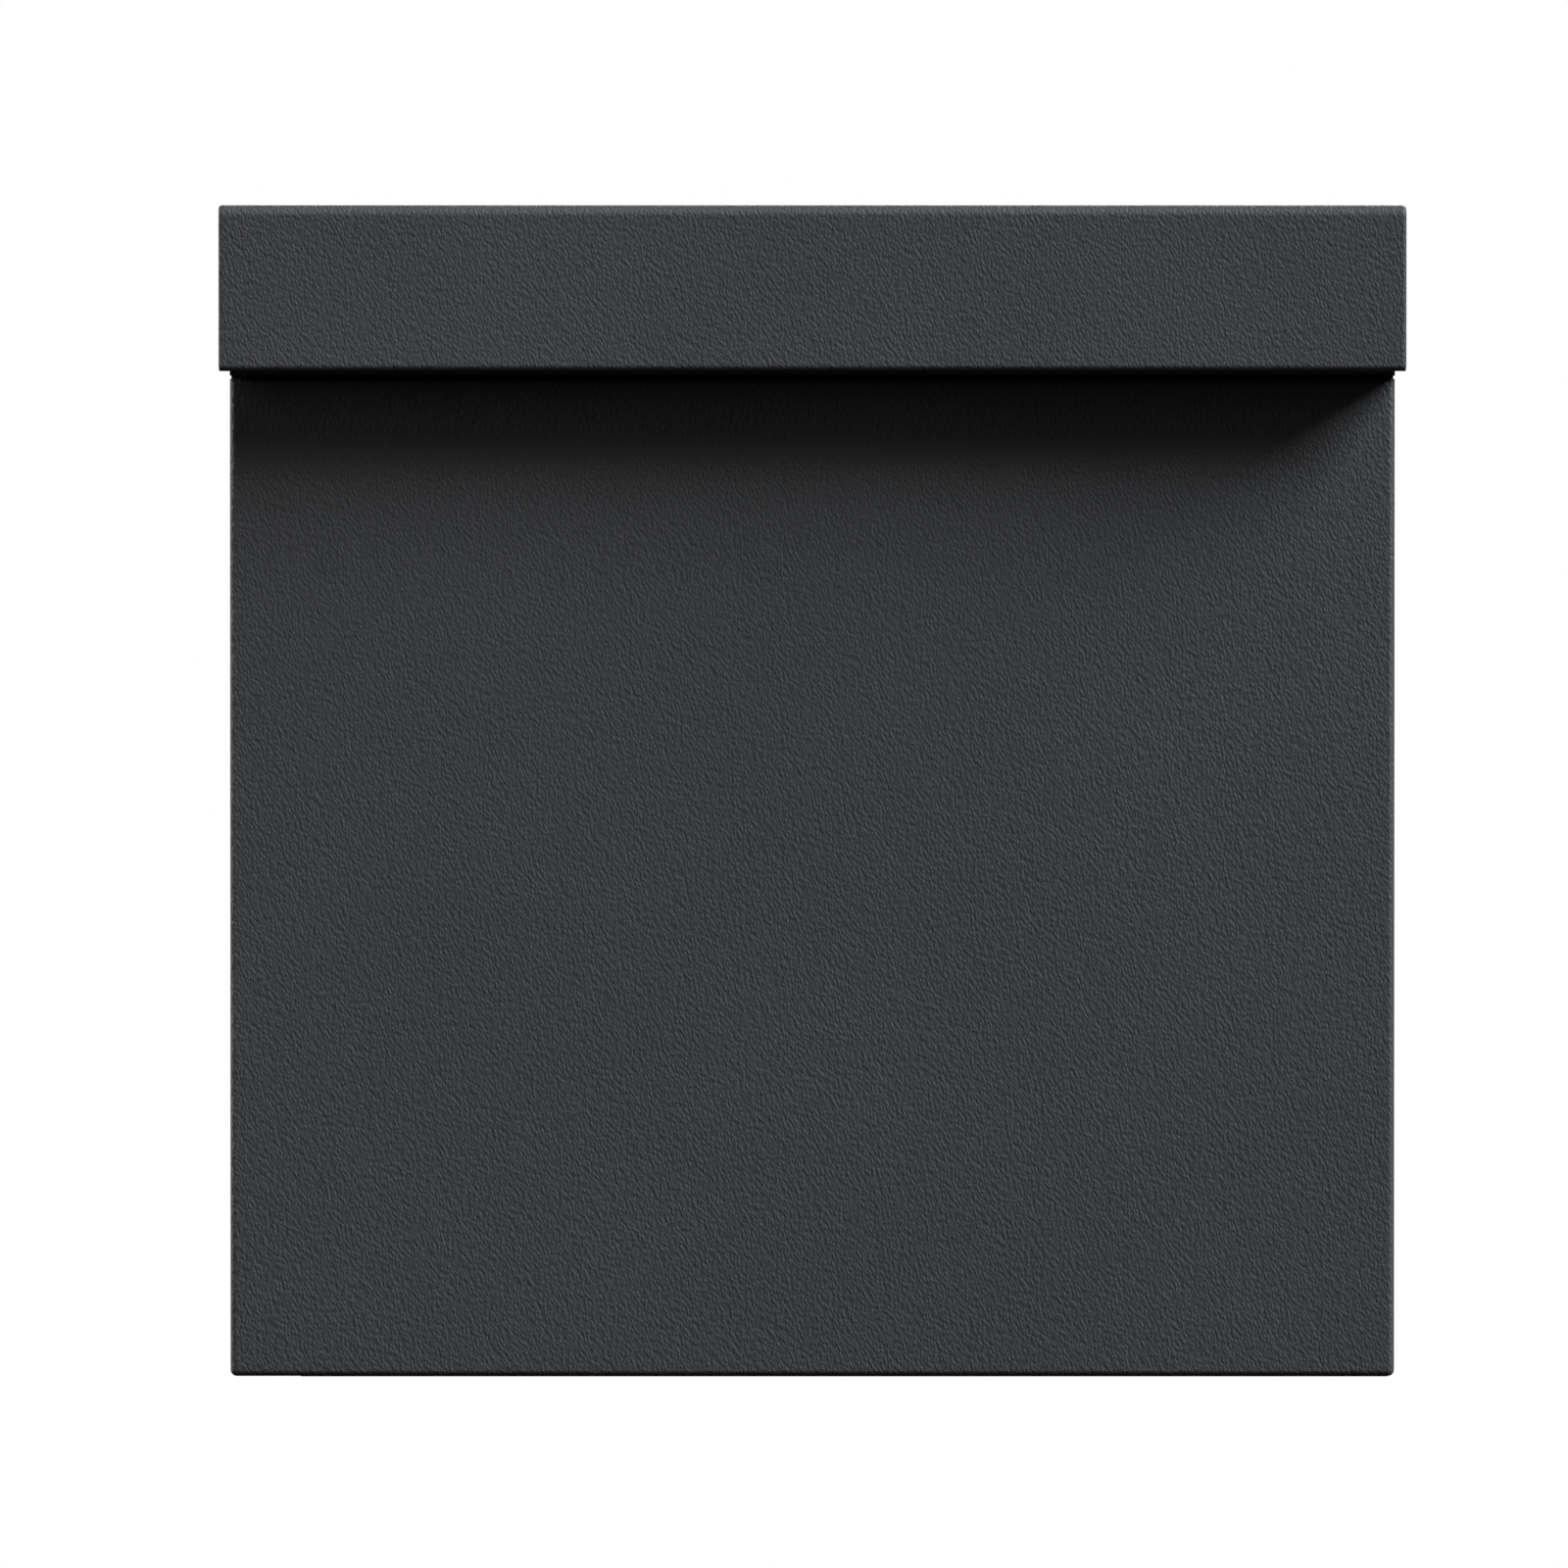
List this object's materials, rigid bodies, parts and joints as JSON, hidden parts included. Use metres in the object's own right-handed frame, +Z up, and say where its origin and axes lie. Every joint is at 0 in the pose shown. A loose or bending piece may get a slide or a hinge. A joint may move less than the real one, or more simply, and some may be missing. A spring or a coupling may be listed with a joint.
{
  "type": "wall mounted mailbox",
  "caption": "Anthracite folded-steel wall mailbox with a lifting hood, a letter slot under it and a full-width front door with a concealed cam lock.",
  "frame": {"origin": "middle of the four wall holes, in the plane of the wall", "axes": "+Y into the wall, -Y to the front, +X to the right seen from the front, +Z up"},
  "size_m": [0.3796, 0.132, 0.372],
  "materials": {
    "powder_coated_steel": "matt structured powder coat",
    "zinc_plated_steel": "bright zinc plate",
    "nickel_plated_lock": "satin nickel plate",
    "black_rubber": "matt",
    "black_nylon": "satin"
  },
  "bodies": {
    "housing": {"body_shell": "powder_coated_steel", "back_panel": "powder_coated_steel", "top_deck": "powder_coated_steel", "top_fascia": "powder_coated_steel", "front_return": "powder_coated_steel", "slot_trim": "black_rubber", "letter_chute": "powder_coated_steel", "chute_rivets": "zinc_plated_steel", "hood_pins": "zinc_plated_steel", "hood_washers": "black_nylon", "hood_buffers": "black_rubber", "hinge_bracket_upper": "zinc_plated_steel", "hinge_bracket_lower": "zinc_plated_steel", "bracket_rivets": "zinc_plated_steel", "door_bumpers": "black_rubber", "lock_housing": "nickel_plated_lock", "lock_nut": "zinc_plated_steel"},
    "hood": {"hood_shell": "powder_coated_steel", "hood_stiffener": "powder_coated_steel", "hood_bushes": "black_nylon"},
    "door": {"door_panel": "powder_coated_steel", "door_stiffener": "powder_coated_steel", "door_hinge_pins": "zinc_plated_steel", "door_washers": "black_nylon", "door_catch": "zinc_plated_steel", "catch_rivets": "zinc_plated_steel"},
    "lock": {"lock_plug": "nickel_plated_lock", "lock_cam": "zinc_plated_steel", "cam_screw": "zinc_plated_steel"}
  },
  "joints": [
    {"name": "hood_hinge", "type": "hinge", "parent": "housing", "child": "hood", "pos_m": [0, -0.014, 0.178], "axis": [-1, 0, 0], "range_deg": [0, 80]},
    {"name": "door_hinge", "type": "hinge", "parent": "housing", "child": "door", "pos_m": [-0.177, -0.098, -0.0275], "axis": [0, 0, -1], "range_deg": [0, 110]},
    {"name": "lock_turn", "type": "hinge", "parent": "housing", "child": "lock", "pos_m": [0.145, -0.095, 0.149], "axis": [0, -1, 0], "range_deg": [0, 90]}
  ]
}
